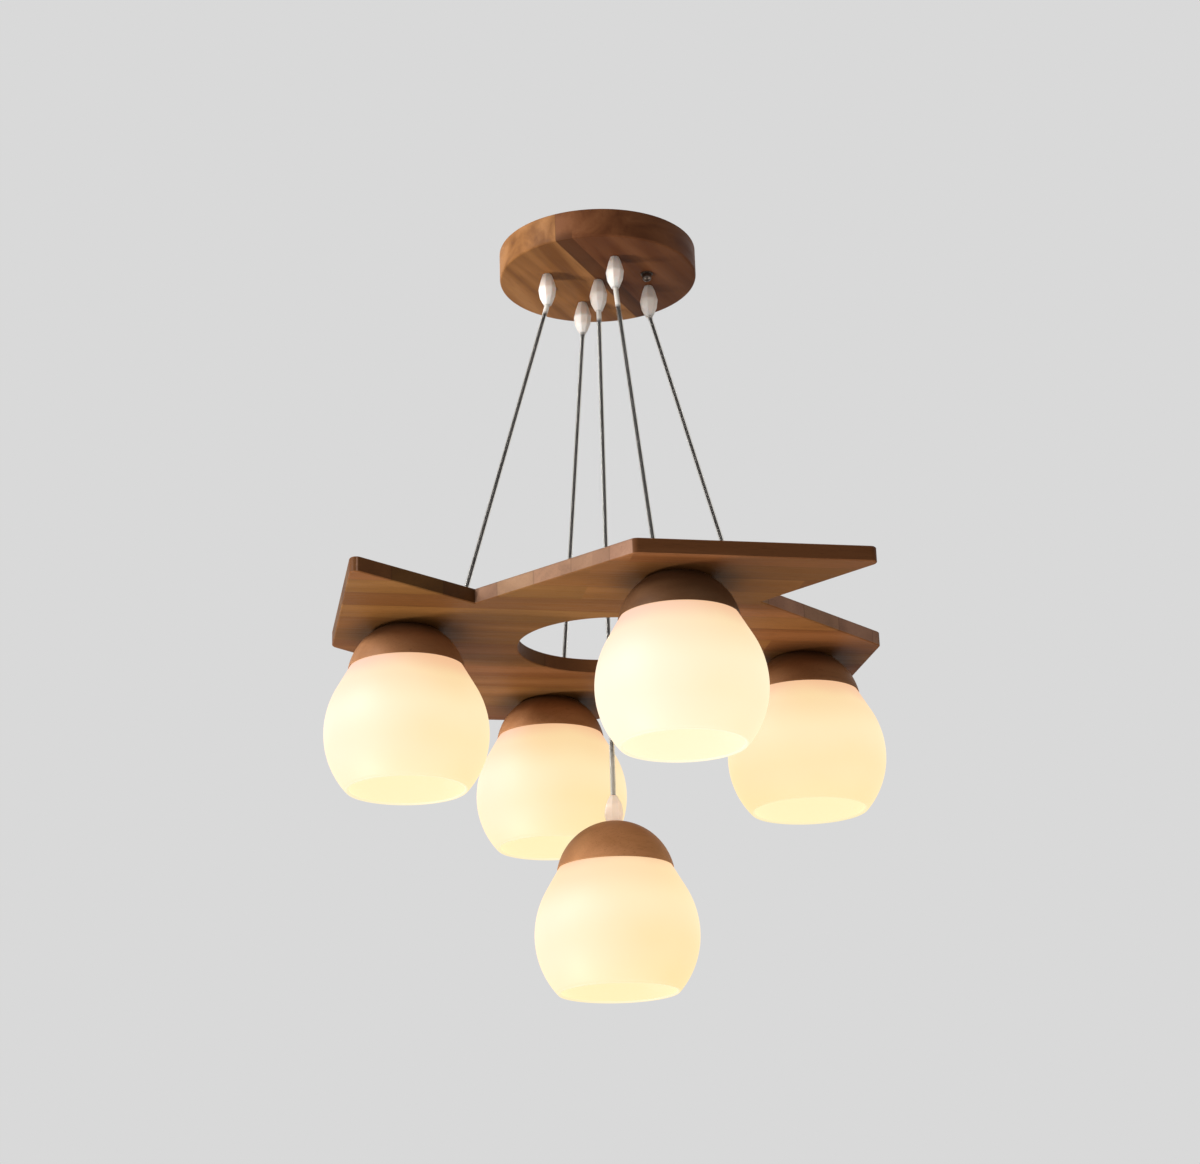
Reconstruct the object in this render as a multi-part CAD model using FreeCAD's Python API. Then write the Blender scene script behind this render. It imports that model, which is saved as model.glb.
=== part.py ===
import FreeCAD, Part
import math
import os

# Wood pendant light. A round wooden ceiling rose carries a flat pinwheel board on four splayed
# cords. Four glass lamps sit in wooden cups under the board, and a fifth lamp hangs on its own
# cord through the hole in the board's middle.
# Millimetres, Z up. The origin is the middle of the face that lies on the ceiling, and X and Y
# run along the sides of the square that the board is cut from. Everything hangs below z = 0.

Vector = FreeCAD.Vector
DOWN = Vector(0, 0, -1)
UP = Vector(0, 0, 1)

# Ceiling rose and what it holds
rose_radius = 97.0
rose_height = 29.0
rose_wall = 10.0
rose_face = 9.0
rose_edge_round = 2.0
stud_circle = 50.0
stud_azimuth = -25.8
stud_radius = 2.0
strap_width = 18.0
strap_thickness = 2.0
strap_overhang = 8.0
ceiling_screw_circle = 30.0
ceiling_screw_radius = 2.5
cable_hole_radius = 6.0
cap_nut_flange = 6.0
cap_nut_flange_thickness = 1.2
cap_nut_radius = 4.6
cap_nut_side = 4.0
cap_nut_thread = 5.0

# Terminal block inside the rose and the wires that lead to it
block_radius = 28.0
block_azimuth = 52.7
block_length = 42.0
block_width = 16.0
block_base = 7.0
block_top = -8.0
block_pitch = 8.0
tower_width = 8.0
tower_length = 6.0
wire_radius = 1.1
wire_level = -10.4
wire_bend = 2.4
wire_gap = 0.1
wire_end = 1.0

# Cords and the bud-shaped grips that hold them
cord_radius = 2.5
cord_gap = 0.3
cord_face_gap = 0.1
grip_length = 33.0
grip_sides = 8
grip_stations = ((0.0, 4.3), (5.0, 7.1), (14.5, 9.0), (24.0, 7.5), (33.0, 4.4))
grip_bore = 2.55
grip_flare = 3.45
grip_flare_depth = 4.0
board_grip_stations = ((0.0, 6.8), (3.0, 7.4), (8.0, 6.0), (11.0, 4.4))
cord_pivot_depth = 1.5
spigot_radius = 4.0
spigot_fit = 0.1
rose_grip_circle = 52.7
board_grip_circle = 144.7
grip_nut_flats = 13.0
grip_nut_thickness = 4.0
board_spigot = 5.0
recess_radius = 7.6
recess_floor = 35.4
grip_foot_radius = 6.9
grip_sunk = 9.0
grip_sunk_radius = 7.9
grip_thread = 8.0

# Pinwheel board: one quarter of its outline, which the other three repeat
board_half = 258.0
side_start = 24.0
side_end = -194.0
notch_point = (-141.0, -113.0)
board_thickness = 14.0
board_underside = -409.0
board_hole_radius = 86.0
tip_round = 6.0
corner_round = 8.0
edge_bevel = 0.8

# Lamps: the glass, its wooden cup and the lampholder that joins them
lamp_circle = 195.0
lamp_azimuth = 187.7
cup_height = 36.0
cup_ball_radius = 54.4
cup_ball_drop = 10.5
cup_rim_radius = 53.4
cup_lip_radius = 53.0
cup_lip_height = 8.0
cup_inner_radius = 50.7
cup_floor_height = 31.0
glass_radius = 75.0
glass_upper_curve = 82.0
glass_lower_curve = 78.0
glass_shoulder_slope = 30.0
glass_crown_curve = 26.0
glass_neck_height = 74.0
glass_wall = 3.0
lip_round = 1.5
glass_neck_hole = 21.0
glass_cut = -52.5
glass_level = 61.0
pendant_rim = -622.0

# Lampholder, its clamping ring and the bulb
holder_radius = 19.5
holder_bevel = 3.0
holder_flange = 26.0
holder_flange_thickness = 3.0
holder_mouth = -12.0
holder_bore = 14.6
holder_bore_top = 15.0
holder_wire_hole = 3.0
sleeve_wall = 0.6
sleeve_recess = 3.0
ring_rim_radius = 26.5
ring_rim_thickness = 2.5
ring_radius = 23.0
ring_foot_radius = 22.6
ring_height = 8.0
nipple_radius = 5.0
nipple_bore = 3.4
nipple_fit = 0.05
nipple_grip = 6.0
bulb_radius = 22.5
bulb_cap_radius = 13.2
bulb_cap_length = 26.0
bulb_contact_radius = 5.0
bulb_contact_gap = 1.0
bulb_insulator_radius = 9.5
bulb_insulator_height = 4.0
bulb_cap_shoulder = 2.0
bulb_waist_height = 8.0
bulb_length = 72.0

# Wiring pockets in the board's top face
pocket_depth = 8.0
groove_width = 6.0
groove_depth = 7.0
nut_well_radius = 11.0
cover_radius = 12.0
cover_thickness = 2.0
cover_recess = 2.2
cover_fit = 0.15
cover_start = 165.0
cover_gap = 0.1
groove_bend = 1.6
nipple_nut_thickness = 2.5
nipple_nut_flats = 17.0
nipple_end = 0.1

# How far a cutting shape reaches past the face that it opens
cut_past = 1.0

rose_floor = rose_face - rose_height
board_top = board_underside + board_thickness
board_rim = board_underside - cup_height
rose_spigot = rose_face + grip_nut_thickness + 1
rose_pivot = -rose_height - grip_length + cord_pivot_depth
board_grip_height = board_grip_stations[-1][0]
board_pivot = board_top + board_grip_height - cord_pivot_depth
nipple_top = board_top - pocket_depth + nipple_nut_thickness + nipple_end
nipple_low = board_rim + cup_floor_height - nipple_grip
pendant_nipple_low = pendant_rim + cup_floor_height - nipple_grip
pendant_grip_foot = pendant_rim + recess_floor
pendant_mouth = pendant_grip_foot + grip_length
pendant_joint = pendant_mouth - cord_pivot_depth
quarters = [lamp_azimuth + 90.0 * quarter for quarter in range(4)]
numbers = (1, 2, 3, 4)


def polar(radius, azimuth, z):
    """Point at a radius and azimuth in degrees about the vertical centre line."""
    angle = math.radians(azimuth)
    return Vector(radius * math.cos(angle), radius * math.sin(angle), z)


def lines(*points):
    """Straight edges through points (radius, height) of a profile."""
    corners = [Vector(radius, 0, height) for radius, height in points]
    return [Part.LineSegment(a, b).toShape() for a, b in zip(corners, corners[1:])]


def arc(start, middle, end):
    """Circular edge of a profile through three points (radius, height)."""
    points = [Vector(radius, 0, height) for radius, height in (start, middle, end)]
    return [Part.Arc(*points).toShape()]


def turned(edges):
    """Solid turned about Z from the closed profile that the edges make."""
    return Part.Face(Part.Wire(edges)).revolve(Vector(0, 0, 0), UP, 360)


def cylinder(radius, low, high, centre=Vector(0, 0, 0)):
    """Upright cylinder between two heights."""
    return Part.makeCylinder(radius, high - low, Vector(centre.x, centre.y, low))


def moved(shape, x, y, z):
    """Copy of a shape shifted by x, y and z."""
    copy = shape.copy()
    copy.translate(Vector(x, y, z))
    return copy


def stood_at(shape, place, flipped=False):
    """Copy of a shape set down at a point, upside down if flipped."""
    copy = shape.copy()
    if flipped:
        copy.rotate(Vector(0, 0, 0), Vector(1, 0, 0), 180)
    copy.translate(place)
    return copy


def turned_to(shape, azimuth):
    """Copy of a shape turned about the vertical centre line."""
    copy = shape.copy()
    copy.rotate(Vector(0, 0, 0), UP, azimuth)
    return copy


def stadium(start, end, radius, low, high):
    """Block with round ends whose end centres lie at start and end on X."""
    a = Vector(start, radius, low)
    b = Vector(end, radius, low)
    c = Vector(end, -radius, low)
    d = Vector(start, -radius, low)
    edges = [
        Part.LineSegment(a, b).toShape(),
        Part.Arc(b, Vector(end + radius, 0, low), c).toShape(),
        Part.LineSegment(c, d).toShape(),
        Part.Arc(d, Vector(start - radius, 0, low), a).toShape(),
    ]
    return Part.Face(Part.Wire(edges)).extrude(Vector(0, 0, high - low))


def polygon_wire(sides, corner_radius, z):
    """Regular polygon at a height, with a flat facing +X."""
    step = 360.0 / sides
    corners = [polar(corner_radius, step * (side + 0.5), z) for side in range(sides)]
    return Part.makePolygon(corners + corners[:1])


def wire_along(points, radius, bend):
    """Round wire along straight runs joined by tangent arcs."""
    edges = []
    start = points[0]
    for before, corner, after in zip(points, points[1:], points[2:]):
        back = (before - corner).normalize()
        ahead = (after - corner).normalize()
        half_turn = (math.pi - back.getAngle(ahead)) / 2
        reach = bend * math.tan(half_turn)
        inward = (back + ahead).normalize()
        middle = corner + inward * (bend / math.cos(half_turn) - bend)
        end = corner + ahead * reach
        edges.append(Part.LineSegment(start, corner + back * reach).toShape())
        edges.append(Part.Arc(corner + back * reach, middle, end).toShape())
        start = end
    edges.append(Part.LineSegment(start, points[-1]).toShape())
    ring = Part.Wire([Part.makeCircle(radius, points[0], points[1] - points[0])])
    return Part.Wire(edges).makePipeShell([ring], True, False)


def ceiling_rose():
    """Turned wooden dish, open towards the ceiling, drilled for the grips and the studs."""
    inner = rose_radius - rose_wall
    low = -rose_height
    round_low = low + rose_edge_round
    diagonal = rose_edge_round * (1 - math.sqrt(0.5))
    edges = lines((0, rose_floor), (inner, rose_floor), (inner, 0), (rose_radius, 0))
    edges += lines((rose_radius, 0), (rose_radius, round_low))
    edges += arc(
        (rose_radius, round_low),
        (rose_radius - diagonal, low + diagonal),
        (rose_radius - rose_edge_round, low),
    )
    edges += lines((rose_radius - rose_edge_round, low), (0, low), (0, rose_floor))
    rose = turned(edges)
    drill = spigot_radius + spigot_fit
    for centre in grip_places():
        rose = rose.cut(cylinder(drill, low - cut_past, 0, centre))
    for place in stud_places():
        rose = rose.cut(cylinder(stud_radius + spigot_fit, low - cut_past, 0, place))
    return rose


def grip_places():
    """Where the five cords leave the rose: four round the middle and one in it."""
    return [polar(rose_grip_circle, azimuth, 0) for azimuth in quarters] + [Vector(0, 0, 0)]


def stud_places():
    """The two studs on opposite sides of the rose."""
    return [polar(stud_circle, stud_azimuth + half, 0) for half in (0, 180)]


def ceiling_bracket():
    """Steel strap across the rose, with ceiling screw holes and a hole for the supply cable."""
    reach = stud_circle + strap_overhang - strap_width / 2
    strap = stadium(-reach, reach, strap_width / 2, -strap_thickness, 0)
    strap = strap.cut(cylinder(cable_hole_radius, -strap_thickness, 0))
    for side in (-1, 1):
        screw = Vector(side * ceiling_screw_circle, 0, 0)
        strap = strap.cut(cylinder(ceiling_screw_radius, -strap_thickness, 0, screw))
        stud = Vector(side * stud_circle, 0, 0)
        strap = strap.cut(cylinder(stud_radius, -strap_thickness, 0, stud))
    return turned_to(strap, stud_azimuth)


def studs():
    """Two threaded studs that hang from the strap and reach through the rose's face."""
    reach = rose_height + cap_nut_thread
    return Part.makeCompound([cylinder(stud_radius, -reach, 0, p) for p in stud_places()])


def cap_nuts():
    """Two domed nuts with a flange, which hold the rose up against the ceiling."""
    seat = -rose_height
    ledge = seat - cap_nut_flange_thickness
    dome = seat - cap_nut_side
    thread_end = seat - cap_nut_thread
    slant = cap_nut_radius * math.sqrt(0.5)
    edges = lines((stud_radius, seat), (cap_nut_flange, seat), (cap_nut_flange, ledge))
    edges += lines((cap_nut_flange, ledge), (cap_nut_radius, ledge), (cap_nut_radius, dome))
    edges += arc((cap_nut_radius, dome), (slant, dome - slant), (0, dome - cap_nut_radius))
    edges += lines((0, dome - cap_nut_radius), (0, thread_end), (stud_radius, thread_end))
    edges += lines((stud_radius, thread_end), (stud_radius, seat))
    nut = turned(edges)
    return Part.makeCompound([moved(nut, p.x, p.y, 0) for p in stud_places()])


def terminal_entries():
    """Where each cord's wires end in the terminal block, in the order of grip_places."""
    along = polar(1, block_azimuth + 90, 0)
    entries = []
    for way, side in ((1, -1), (-1, -1), (-2, 1), (2, 1), (0, -1)):
        middle = polar(block_radius + side, block_azimuth, wire_level)
        entries.append(middle + along * (block_pitch * way))
    return entries


def rose_wires(radius):
    """The bared wires of the five cords, from the spigots' tops to the terminal block."""
    spigot_top = -rose_height + rose_spigot
    wires = []
    for place, entry in zip(grip_places(), terminal_entries()):
        start = Vector(place.x, place.y, spigot_top)
        corner = Vector(place.x, place.y, wire_level)
        wires.append(wire_along([start, corner, entry], radius, wire_bend))
    return wires


def terminal_block():
    """Five-way screw terminal on the rose's floor: a base with one tower for each way."""
    half_width = block_width / 2
    half_length = block_length / 2
    start = Vector(block_radius - half_width, -half_length, rose_floor)
    block = Part.makeBox(block_width, block_length, block_base, start)
    tower_low = rose_floor + block_base
    tower_start = block_radius - tower_width / 2
    for way in range(-2, 3):
        corner = Vector(tower_start, way * block_pitch - tower_length / 2, tower_low)
        tower = Part.makeBox(tower_width, tower_length, block_top - tower_low, corner)
        block = block.fuse(tower)
    block = turned_to(block, block_azimuth).removeSplitter()
    for wire in rose_wires(wire_radius + wire_gap):
        block = block.cut(wire)
    return block


def cord_grip(stations, spigot_length):
    """Faceted bud that grips a cord, with corner radii given at depths below its neck. Its neck
    sits at z = 0, its mouth is at the bottom and its threaded spigot points up."""
    depth = stations[-1][0]
    rings = [polygon_wire(grip_sides, radius, -below) for below, radius in stations]
    bud = Part.makeLoft(rings, True, False)
    bud = bud.fuse(cylinder(spigot_radius, -cut_past, spigot_length))
    bud = bud.cut(cylinder(grip_bore, -depth - cut_past, spigot_length + cut_past))
    mouth = Vector(0, 0, -depth)
    return bud.cut(Part.makeCone(grip_flare, grip_bore, grip_flare_depth, mouth))


def grip_nuts():
    """Five hexagonal nuts on the spigots, inside the rose."""
    corner = grip_nut_flats / math.sqrt(3)
    face = Part.Face(polygon_wire(6, corner, rose_floor))
    nut = face.extrude(Vector(0, 0, grip_nut_thickness))
    nut = nut.cut(cylinder(spigot_radius + nipple_fit, rose_floor, 0))
    return Part.makeCompound([moved(nut, p.x, p.y, 0) for p in grip_places()])


def cord_tops():
    """The five cords' fixed ends: up through the grip, then the bared wires run to the
    terminal block. Each lower end is hollowed round the point where its cord bends."""
    tops = []
    spigot_top = -rose_height + rose_spigot
    for place, wires in zip(grip_places(), rose_wires(wire_radius)):
        sheath = cylinder(cord_radius, rose_pivot, spigot_top, place)
        hollow = Part.makeSphere(cord_radius + cord_gap, Vector(place.x, place.y, rose_pivot))
        tops.append(sheath.cut(hollow).fuse(wires))
    return Part.makeCompound(tops)


def board_cord(azimuth):
    """Taut cord from a rose grip to the low grip on the board, with a ball at each end."""
    top = polar(rose_grip_circle, azimuth, rose_pivot)
    low = polar(board_grip_circle, azimuth, board_pivot)
    run = low - top
    cord = cylinder(cord_radius, -run.Length, 0)
    for z in (0, -run.Length):
        cord = cord.fuse(Part.makeSphere(cord_radius, Vector(0, 0, z)))
    cord.Placement = FreeCAD.Placement(top, FreeCAD.Rotation(DOWN, run))
    return cord


def board():
    """Pinwheel of four fins with a round hole, its top face routed for the wiring."""
    quarter = [(-board_half, side_start), (-board_half, side_end), notch_point]
    outline = []
    for turn in range(4):
        outline += [turned_point(point, turn, board_underside) for point in quarter]
    face = Part.Face(Part.makePolygon(outline + outline[:1]))
    solid = face.extrude(Vector(0, 0, board_thickness))
    solid = rounded_upright(solid, (-board_half, side_end), tip_round)
    solid = rounded_upright(solid, (-board_half, side_start), corner_round)
    solid = solid.cut(cylinder(board_hole_radius, board_underside, board_top))
    solid = solid.makeChamfer(edge_bevel, rim_edges(solid))
    floor = board_top - pocket_depth
    past = board_top + cut_past
    groove_top = floor + groove_depth
    at_lamp = Vector(lamp_circle, 0, 0)
    at_grip = Vector(board_grip_circle, 0, 0)
    bolt_radius = nipple_radius + spigot_fit
    for azimuth in quarters:
        pocket = stadium(cover_start, lamp_circle, cover_radius, board_top - cover_recess, past)
        groove = stadium(board_grip_circle, lamp_circle, groove_width / 2, floor, groove_top)
        nut_well = cylinder(nut_well_radius, floor, board_top, at_lamp)
        socket = cylinder(spigot_radius + spigot_fit, floor, past, at_grip)
        bolt = cylinder(bolt_radius, board_underside - cut_past, board_top, at_lamp)
        for tool in (pocket, groove, nut_well, socket, bolt):
            solid = solid.cut(turned_to(tool, azimuth))
    return solid


def turned_point(point, quarter_turns, z):
    """Outline point turned by whole quarters about the board's middle."""
    x, y = point
    for _ in range(quarter_turns):
        x, y = -y, x
    return Vector(x, y, z)


def rounded_upright(solid, point, radius):
    """Rounds the board's upright edges at an outline point and its three repeats."""
    places = [turned_point(point, turn, 0) for turn in range(4)]
    chosen = []
    for edge in solid.Edges:
        a, b = (vertex.Point for vertex in (edge.Vertexes[0], edge.Vertexes[-1]))
        upright = abs(a.z - b.z) > board_thickness / 2
        if upright and any(math.hypot(a.x - p.x, a.y - p.y) < 1 for p in places):
            chosen.append(edge)
    return solid.makeFillet(radius, chosen)


def rim_edges(solid):
    """All edges that lie in the board's top or bottom face."""
    return [edge for edge in solid.Edges if edge.BoundBox.ZLength < 0.01]


def wiring_covers():
    """Four thin wooden slips that close the wiring pockets in the board's top."""
    low = board_top - cover_recess + cover_gap
    radius = cover_radius - cover_fit
    slip = stadium(cover_start, lamp_circle, radius, low, low + cover_thickness)
    return Part.makeCompound([turned_to(slip, azimuth) for azimuth in quarters])


def board_wiring():
    """From each board grip the cord's end and its wires run in the groove to the lamp."""
    spigot_low = board_top - board_spigot
    start_level = board_top - pocket_depth + wire_radius + wire_gap
    end_level = board_top - cover_recess - wire_radius - cord_gap
    route = [
        Vector(board_grip_circle, 0, spigot_low),
        Vector(board_grip_circle, 0, start_level),
        Vector(lamp_circle, 0, end_level),
        Vector(lamp_circle, 0, nipple_low + wire_end),
    ]
    sheath = cylinder(cord_radius, spigot_low, board_pivot, Vector(board_grip_circle, 0, 0))
    centre = Vector(board_grip_circle, 0, board_pivot)
    hollow = Part.makeSphere(cord_radius + cord_gap, centre)
    lead = sheath.cut(hollow).fuse(wire_along(route, wire_radius, groove_bend))
    return Part.makeCompound([turned_to(lead, azimuth) for azimuth in quarters])


def nipple(low, high):
    """Hollow threaded tube that the wires go through."""
    return cylinder(nipple_radius, low, high).cut(cylinder(nipple_bore, low, high))


def board_nipples():
    """Four nipples that pin the cups and lampholders to the board."""
    one = nipple(nipple_low, nipple_top)
    return Part.makeCompound([stood_at(one, polar(lamp_circle, q, 0)) for q in quarters])


def nipple_nuts():
    """Four thin hexagonal nuts on the nipples, sunk in the board's top."""
    low = board_top - pocket_depth
    face = Part.Face(polygon_wire(6, nipple_nut_flats / math.sqrt(3), low))
    nut = face.extrude(Vector(0, 0, nipple_nut_thickness))
    nut = nut.cut(cylinder(nipple_radius + nipple_fit, low, board_top))
    return Part.makeCompound([stood_at(nut, polar(lamp_circle, q, 0)) for q in quarters])


def cup_inside():
    """Profile of the hollow in a cup, from the centre line out to the rim. The lip flares so
    that it hugs the shoulder of the glass."""
    drop = cup_ball_drop
    ball = cup_inner_radius
    bore = nipple_radius + spigot_fit
    top = math.sqrt(ball**2 - (cup_floor_height + drop) ** 2)
    low = math.sqrt(ball**2 - (cup_lip_height + drop) ** 2)
    halfway = (cup_floor_height + cup_lip_height) / 2
    middle = math.sqrt(ball**2 - (halfway + drop) ** 2)
    edges = lines((bore, cup_floor_height), (top, cup_floor_height))
    edges += arc((top, cup_floor_height), (middle, halfway), (low, cup_lip_height))
    return edges + lines((low, cup_lip_height), (cup_lip_radius, 0), (cup_rim_radius, 0))


def board_cup():
    """Turned cup under the board: a ball cut off flat where it meets the wood. Its rim
    plane is z = 0."""
    drop = cup_ball_drop
    seat = math.sqrt(cup_ball_radius**2 - (cup_height + drop) ** 2)
    middle = math.sqrt(cup_ball_radius**2 - (cup_height / 2 + drop) ** 2)
    bore = nipple_radius + spigot_fit
    edges = cup_inside()
    edges += arc((cup_rim_radius, 0), (middle, cup_height / 2), (seat, cup_height))
    edges += lines((seat, cup_height), (bore, cup_height), (bore, cup_floor_height))
    return turned(edges)


def pendant_cup():
    """Turned cup of the lone lamp: a full dome with a seat for the grip in its crown."""
    drop = cup_ball_drop
    crown = math.sqrt(cup_ball_radius**2 - recess_radius**2) - drop
    middle = math.sqrt(cup_ball_radius**2 - (cup_height / 2 + drop) ** 2)
    bore = nipple_radius + spigot_fit
    edges = cup_inside()
    edges += arc((cup_rim_radius, 0), (middle, cup_height / 2), (recess_radius, crown))
    edges += lines((recess_radius, crown), (recess_radius, recess_floor), (bore, recess_floor))
    edges += lines((bore, recess_floor), (bore, cup_floor_height))
    return turned(edges)


def glass_side(wall):
    """Corner points of the glass a wall's thickness in from its outside, top to bottom: flat
    neck, crown curve, straight shoulder and belly. The middles of the curves come with them."""
    slope = math.radians(glass_shoulder_slope)
    upper = glass_upper_curve - wall
    lower = glass_lower_curve - wall
    crown = glass_crown_curve - wall
    upper_centre = glass_radius - glass_upper_curve
    lower_centre = glass_radius - glass_lower_curve
    shoulder = glass_upper_curve * math.sin(slope)
    shoulder_radius = upper_centre + glass_upper_curve * math.cos(slope)
    crown_level = glass_neck_height - glass_crown_curve
    rise = crown_level + glass_crown_curve * math.sin(slope) - shoulder
    crown_centre = shoulder_radius - rise * math.tan(slope) - glass_crown_curve * math.cos(slope)
    lip = glass_cut + lip_round

    def on(centre, level, curve, angle):
        return (centre + curve * math.cos(angle), level + curve * math.sin(angle))

    low_angle = -math.asin(lip / lower)
    return {
        "neck": (crown_centre, crown_level + crown),
        "crown_middle": on(crown_centre, crown_level, crown, (slope + math.pi / 2) / 2),
        "crown_end": on(crown_centre, crown_level, crown, slope),
        "shoulder_end": on(upper_centre, 0, upper, slope),
        "upper_middle": on(upper_centre, 0, upper, slope / 2),
        "widest": (glass_radius - wall, 0),
        "lower_middle": on(lower_centre, 0, lower, -low_angle / 2),
        "lip": on(lower_centre, 0, lower, -low_angle),
    }


def glass_shade():
    """Blown opal globe, z = 0 at its widest: a flat neck that the lampholder clamps, a straight
    sloping shoulder that the cup hides in part, and a round belly cut off level at a rounded
    lip."""
    out = glass_side(0)
    inn = glass_side(glass_wall)
    lip_middle = ((out["lip"][0] + inn["lip"][0]) / 2, glass_cut)
    edges = lines((glass_neck_hole, glass_neck_height), out["neck"])
    edges += arc(out["neck"], out["crown_middle"], out["crown_end"])
    edges += lines(out["crown_end"], out["shoulder_end"])
    edges += arc(out["shoulder_end"], out["upper_middle"], out["widest"])
    edges += arc(out["widest"], out["lower_middle"], out["lip"])
    edges += arc(out["lip"], lip_middle, inn["lip"])
    edges += arc(inn["lip"], inn["lower_middle"], inn["widest"])
    edges += arc(inn["widest"], inn["upper_middle"], inn["shoulder_end"])
    edges += lines(inn["shoulder_end"], inn["crown_end"])
    edges += arc(inn["crown_end"], inn["crown_middle"], inn["neck"])
    neck_low = glass_neck_height - glass_wall
    edges += lines(inn["neck"], (glass_neck_hole, neck_low), (glass_neck_hole, glass_neck_height))
    return turned(edges)


def lampholder():
    """Screw lampholder: a capped body with a flange over the glass, a threaded skirt through
    it and a bore for the bulb. The cup's rim plane is z = 0."""
    seat = glass_neck_height - glass_level
    ledge = seat + holder_flange_thickness
    bore = nipple_radius + nipple_fit
    top = cup_floor_height
    thread_end = top - nipple_grip
    return turned(
        lines(
            (bore, top),
            (holder_radius - holder_bevel, top),
            (holder_radius, top - holder_bevel),
            (holder_radius, ledge),
            (holder_flange, ledge),
            (holder_flange, seat),
            (holder_radius, seat),
            (holder_radius, holder_mouth),
            (holder_bore, holder_mouth),
            (holder_bore, holder_bore_top),
            (holder_wire_hole, holder_bore_top),
            (holder_wire_hole, thread_end),
            (bore, thread_end),
            (bore, top),
        )
    )


def socket_sleeve():
    """Brass screw sleeve inside a lampholder."""
    low = holder_mouth + sleeve_recess
    outer = cylinder(holder_bore, low, holder_bore_top)
    return outer.cut(cylinder(holder_bore - sleeve_wall, low, holder_bore_top))


def shade_ring():
    """Ring that screws up the skirt and clamps the glass against the flange."""
    top = glass_neck_height - glass_wall - glass_level
    low = top - ring_height
    rim_low = top - ring_rim_thickness
    bore = holder_radius + nipple_fit
    return turned(
        lines(
            (bore, top),
            (ring_rim_radius, top),
            (ring_rim_radius, rim_low),
            (ring_radius, rim_low),
            (ring_foot_radius, low),
            (bore, low),
            (bore, top),
        )
    )


def bulb():
    """Golf-ball bulb screwed home: cap, tapered collar and round envelope."""
    contact = holder_bore_top - bulb_contact_gap
    insulator_low = contact - bulb_insulator_height
    shoulder = insulator_low - bulb_cap_shoulder
    cap_low = contact - bulb_cap_length
    tip = contact - bulb_length
    centre = tip + bulb_radius
    waist_level = centre + bulb_waist_height
    under_level = centre - bulb_waist_height
    waist = math.sqrt(bulb_radius**2 - bulb_waist_height**2)
    slant = bulb_radius * math.sqrt(0.5)
    edges = lines((0, contact), (bulb_contact_radius, contact))
    edges += lines((bulb_contact_radius, contact), (bulb_insulator_radius, insulator_low))
    edges += lines((bulb_insulator_radius, insulator_low), (bulb_cap_radius, shoulder))
    edges += lines((bulb_cap_radius, shoulder), (bulb_cap_radius, cap_low), (waist, waist_level))
    edges += arc((waist, waist_level), (bulb_radius, centre), (waist, under_level))
    edges += arc((waist, under_level), (slant, centre - slant), (0, tip))
    return turned(edges + lines((0, tip), (0, contact)))


def pendant_grip():
    """Bud of the lone lamp, mouth up. Its neck is a round foot that screws on the nipple."""
    rings = [polygon_wire(grip_sides, grip_sunk_radius, grip_sunk)]
    for depth, radius in grip_stations:
        if depth > grip_sunk:
            rings.append(polygon_wire(grip_sides, radius, depth))
    bud = Part.makeLoft(rings, True, False)
    bud = bud.fuse(cylinder(grip_foot_radius, 0, grip_sunk))
    bud = bud.cut(cylinder(grip_bore, 0, grip_length))
    bud = bud.cut(cylinder(nipple_radius + nipple_fit, 0, grip_thread))
    flare_low = grip_length - grip_flare_depth
    flare = Part.makeCone(grip_bore, grip_flare, grip_flare_depth, Vector(0, 0, flare_low))
    return moved(bud.cut(flare), 0, 0, pendant_grip_foot)


def centre_cord():
    """Free cord of the lone lamp, hollowed on top round the point where it bends."""
    cord = cylinder(cord_radius, pendant_joint + cord_face_gap, rose_pivot)
    return cord.cut(Part.makeSphere(cord_radius + cord_gap, Vector(0, 0, rose_pivot)))


def pendant_cord_end():
    """The cord's last stretch, held in the lone lamp's grip, and its wires in the nipple."""
    neck = pendant_grip_foot + grip_thread + wire_end
    sheath = cylinder(cord_radius, neck, pendant_joint - cord_face_gap)
    wires = cylinder(wire_radius, pendant_nipple_low + wire_end, neck)
    return sheath.fuse(wires)


def save(name, shape):
    """Writes one node."""
    shape.exportStep("parts/" + name + ".step")
    print(name, "solids", len(shape.Solids), "volume", round(shape.Volume))


os.makedirs("parts", exist_ok=True)

save("ceiling_bracket", ceiling_bracket())
save("ceiling_rose", ceiling_rose())
save("rose_studs", studs())
save("rose_cap_nuts", cap_nuts())
save("terminal_block", terminal_block())
save("cord_tops", cord_tops())
save("grip_nuts", grip_nuts())
rose_grip = cord_grip(grip_stations, rose_spigot)
rose_grip_names = ["rose_grip_" + str(number) for number in numbers] + ["rose_grip_centre"]
for name, place in zip(rose_grip_names, grip_places()):
    save(name, moved(rose_grip, place.x, place.y, -rose_height))

for number, azimuth in zip(numbers, quarters):
    save("board_cord_" + str(number), board_cord(azimuth))

save("board", board())
save("wiring_covers", wiring_covers())
save("board_wiring", board_wiring())
save("board_nipples", board_nipples())
save("nipple_nuts", nipple_nuts())
standing_grip = cord_grip(board_grip_stations, board_spigot)
lamp_pieces = {
    "cup": (board_cup(), 0),
    "lampholder": (lampholder(), 0),
    "socket_sleeve": (socket_sleeve(), 0),
    "shade_ring": (shade_ring(), 0),
    "glass_shade": (glass_shade(), -glass_level),
    "bulb": (bulb(), 0),
}
for number, azimuth in zip(numbers, quarters):
    place = polar(board_grip_circle, azimuth, board_top)
    save("board_grip_" + str(number), stood_at(standing_grip, place, flipped=True))
    centre = polar(lamp_circle, azimuth, board_rim)
    for name, (shape, level) in lamp_pieces.items():
        save(name + "_" + str(number), moved(shape, centre.x, centre.y, centre.z + level))

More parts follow.
